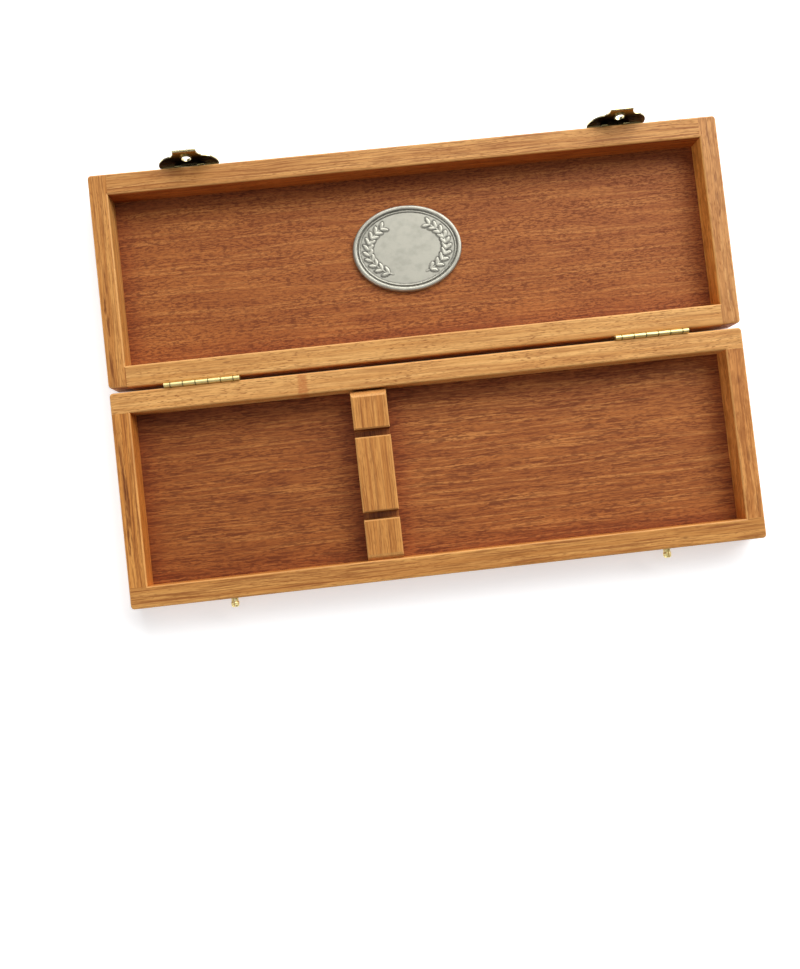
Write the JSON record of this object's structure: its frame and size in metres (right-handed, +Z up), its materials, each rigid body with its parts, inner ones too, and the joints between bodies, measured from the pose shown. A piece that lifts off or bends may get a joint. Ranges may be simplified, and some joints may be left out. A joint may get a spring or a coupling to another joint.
{
  "type": "knife presentation case",
  "caption": "Shallow rectangular hinged wooden case, open flat: finger-jointed frame, notched rest bar for knives, oval badge in the lid, brass hinges, and hasps that close over studs.",
  "frame": {"origin": "centre of the base half's underside, on the surface the case lies on", "axes": "+X along the case's length to the viewer's right, +Y from the base's front across the hinges to the lid, +Z up out of the open halves"},
  "size_m": [0.32, 0.2263, 0.0254],
  "materials": {
    "frame_wood": "golden tan hardwood, clear satin lacquer",
    "panel_veneer": "reddish brown mahogany veneer on plywood, satin",
    "bar_wood": "golden tan hardwood with darker streaks, satin",
    "brass": "pale plated brass, polished",
    "pewter": "satin pewter"
  },
  "bodies": {
    "base": {"base_front_rail": "frame_wood", "base_back_rail": "frame_wood", "base_left_end": "frame_wood", "base_right_end": "frame_wood", "base_panel": "panel_veneer", "rest_bar": "bar_wood", "stud_left": "brass", "stud_right": "brass", "hinge_left_base_leaf": "brass", "hinge_right_base_leaf": "brass", "hinge_left_pin": "brass", "hinge_right_pin": "brass", "base_hinge_screws": "brass"},
    "lid": {"lid_front_rail": "frame_wood", "lid_back_rail": "frame_wood", "lid_left_end": "frame_wood", "lid_right_end": "frame_wood", "lid_panel": "panel_veneer", "lid_badge": "pewter", "hinge_left_lid_leaf": "brass", "hinge_right_lid_leaf": "brass", "lid_hinge_screws": "brass", "catch_left_plate": "brass", "catch_right_plate": "brass", "catch_left_pin": "brass", "catch_right_pin": "brass", "catch_plate_nails": "brass"},
    "hasp_left": {"catch_left_hasp": "brass"},
    "hasp_right": {"catch_right_hasp": "brass"}
  },
  "joints": [
    {"name": "lid_hinge", "type": "hinge", "parent": "base", "child": "lid", "pos_m": [0, 0.05495, 0.0161], "axis": [1, 0, 0], "range_deg": [0, 180]},
    {"name": "hasp_left_hinge", "type": "hinge", "parent": "lid", "child": "hasp_left", "pos_m": [-0.1094, 0.165, 0.0112], "axis": [1, 0, 0], "range_deg": [-115, 5]},
    {"name": "hasp_right_hinge", "type": "hinge", "parent": "lid", "child": "hasp_right", "pos_m": [0.1094, 0.165, 0.0112], "axis": [1, 0, 0], "range_deg": [-115, 5]}
  ]
}
